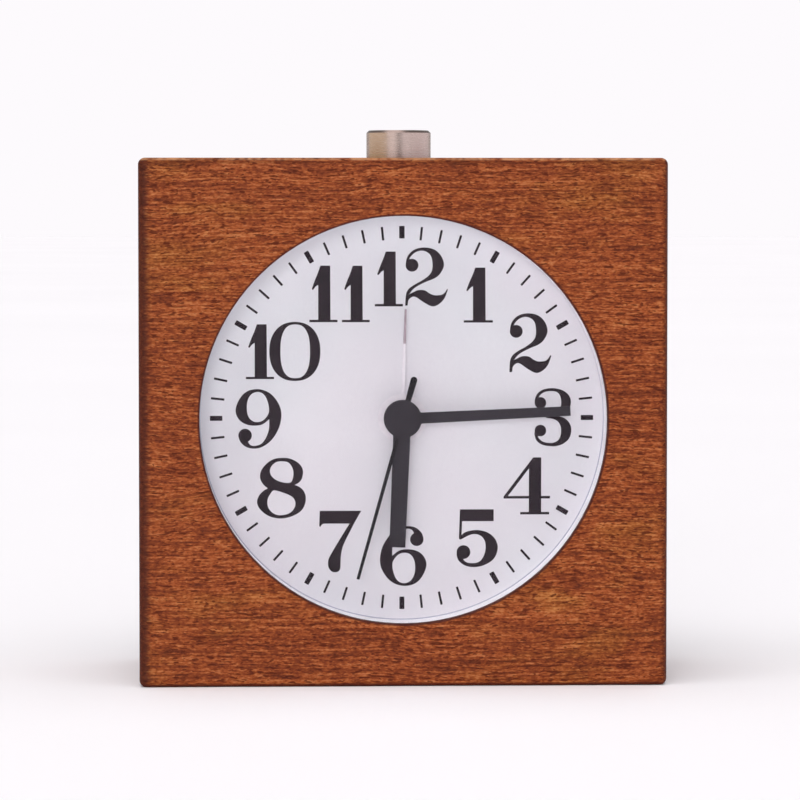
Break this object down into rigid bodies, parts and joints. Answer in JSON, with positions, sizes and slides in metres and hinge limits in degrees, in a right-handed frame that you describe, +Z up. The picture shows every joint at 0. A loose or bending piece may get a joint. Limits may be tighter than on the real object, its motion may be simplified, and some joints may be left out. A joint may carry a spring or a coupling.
{
  "type": "desk clock",
  "caption": "Square wooden desk alarm clock with a deep round dial opening, four hands, a metal snooze button on top and setting knobs and a battery door on the back.",
  "frame": {"origin": "centre of the flat base of the wooden case", "axes": "+Z up, -Y out of the dial towards the viewer, +X to the right seen from the front"},
  "size_m": [0.085, 0.042, 0.0897],
  "materials": {
    "wood": "straight-grained reddish-brown hardwood, oiled, satin",
    "clear_lens": "clear flat acrylic",
    "white_ring": "white moulded plastic, matt",
    "dial_face": "printed matt pale dial",
    "dial_ink": "matt dark print",
    "black_hand": "satin black paint",
    "pale_hand": "satin white paint, grey-mauve tip",
    "button_metal": "turned and anodised, satin champagne grey",
    "steel": "bright steel",
    "brass": "plain brass",
    "copper": "enamelled copper wire, wound",
    "natural_plastic": "natural white plastic",
    "gear_plastic": "natural acetal",
    "black_plastic": "black moulded plastic, fine texture",
    "knob_plastic": "black moulded plastic, satin",
    "board": "green board lacquer",
    "magnet": "dark sintered magnet",
    "cell_label": "dark label, bare of text, with a copper-coloured end"
  },
  "bodies": {
    "case": {"wooden_case": "wood", "lens": "clear_lens", "dial_ring": "white_ring", "dial": "dial_face", "stator": "steel", "coil_core": "steel", "coil_bobbin": "natural_plastic", "coil_winding": "copper", "movement_front_plate": "natural_plastic", "movement_middle_plate": "natural_plastic", "movement_rear_cover": "natural_plastic", "movement_screws": "steel", "circuit_board": "board", "clock_chip": "black_plastic", "quartz_crystal": "steel", "alarm_contact_spring": "brass", "button_bush": "brass", "snooze_switch_body": "black_plastic", "back_cover": "black_plastic", "back_screws": "steel", "buzzer_disc": "brass", "battery": "cell_label", "battery_contact_positive": "steel", "battery_contact_negative": "steel", "battery_spring": "steel", "alarm_switch_body": "black_plastic"},
    "second": {"second_hand": "black_hand", "seconds_arbor": "steel", "seconds_wheel": "brass"},
    "third": {"third_wheel": "gear_plastic"},
    "centre": {"centre_wheel": "gear_plastic"},
    "intermediate": {"intermediate_wheel": "gear_plastic"},
    "rotor": {"rotor_pinion": "gear_plastic", "rotor_magnet": "gear_plastic"},
    "minute": {"minute_hand": "black_hand", "cannon_pinion": "gear_plastic"},
    "hour": {"hour_hand": "black_hand", "hour_wheel": "gear_plastic"},
    "time_setting": {"minute_wheel": "gear_plastic", "time_set_knob": "knob_plastic"},
    "alarm": {"alarm_hand": "pale_hand", "alarm_wheel": "gear_plastic"},
    "alarm_setting": {"alarm_setting_arbor": "gear_plastic", "alarm_set_knob": "knob_plastic"},
    "snooze_button": {"snooze_button_cap": "button_metal", "snooze_button_stem": "steel", "stem_clip": "steel", "snooze_switch_plunger": "natural_plastic", "button_spring": "steel"},
    "alarm_switch": {"alarm_slide": "knob_plastic"},
    "door": {"battery_door": "black_plastic"}
  },
  "joints": [
    {"name": "second_spin", "type": "hinge", "parent": "case", "child": "second", "pos_m": [0, 0, 0.0429], "axis": [0, 1, 0], "continuous": true},
    {"name": "third_spin", "type": "hinge", "parent": "case", "child": "third", "pos_m": [-0.0056, 0, 0.03898], "axis": [0, 1, 0], "continuous": true},
    {"name": "centre_spin", "type": "hinge", "parent": "case", "child": "centre", "pos_m": [0, 0, 0.0429], "axis": [0, 1, 0], "continuous": true},
    {"name": "intermediate_spin", "type": "hinge", "parent": "case", "child": "intermediate", "pos_m": [0.00239, 0, 0.03632], "axis": [0, 1, 0], "continuous": true},
    {"name": "rotor_spin", "type": "hinge", "parent": "case", "child": "rotor", "pos_m": [0.00239, 0, 0.03152], "axis": [0, 1, 0], "continuous": true},
    {"name": "minute_spin", "type": "hinge", "parent": "case", "child": "minute", "pos_m": [0, 0, 0.0429], "axis": [0, 1, 0], "continuous": true},
    {"name": "hour_spin", "type": "hinge", "parent": "case", "child": "hour", "pos_m": [0, 0, 0.0429], "axis": [0, 1, 0], "continuous": true},
    {"name": "time_set_spin", "type": "hinge", "parent": "case", "child": "time_setting", "pos_m": [0.00675, 0, 0.0479], "axis": [0, 1, 0], "continuous": true},
    {"name": "alarm_spin", "type": "hinge", "parent": "case", "child": "alarm", "pos_m": [0, 0, 0.0429], "axis": [0, 1, 0], "continuous": true},
    {"name": "alarm_set_spin", "type": "hinge", "parent": "case", "child": "alarm_setting", "pos_m": [-0.00748, 0, 0.0479], "axis": [0, 1, 0], "continuous": true},
    {"name": "snooze_press", "type": "slide", "parent": "case", "child": "snooze_button", "axis": [0, 0, -1], "range_m": [0, 0.0015], "stiffness_N_per_m": 350, "springref_m": -0.002, "deforming": ["button_spring"]},
    {"name": "alarm_switch_slide", "type": "slide", "parent": "case", "child": "alarm_switch", "axis": [0, 0, 1], "range_m": [0, 0.0044]},
    {"name": "battery_door_hinge", "type": "hinge", "parent": "case", "child": "door", "pos_m": [0, 0.01982, 0.021], "axis": [-1, 0, 0], "range_deg": [0, 100]}
  ],
  "couplings": [
    {"joint": "third_spin", "follows": "second_spin", "ratio": -0.13333},
    {"joint": "centre_spin", "follows": "second_spin", "ratio": 0.016667},
    {"joint": "intermediate_spin", "follows": "second_spin", "ratio": -6},
    {"joint": "rotor_spin", "follows": "second_spin", "ratio": 30},
    {"joint": "hour_spin", "follows": "minute_spin", "ratio": 0.083333},
    {"joint": "time_set_spin", "follows": "minute_spin", "ratio": -0.33333},
    {"joint": "alarm_set_spin", "follows": "alarm_spin", "ratio": -4}
  ]
}
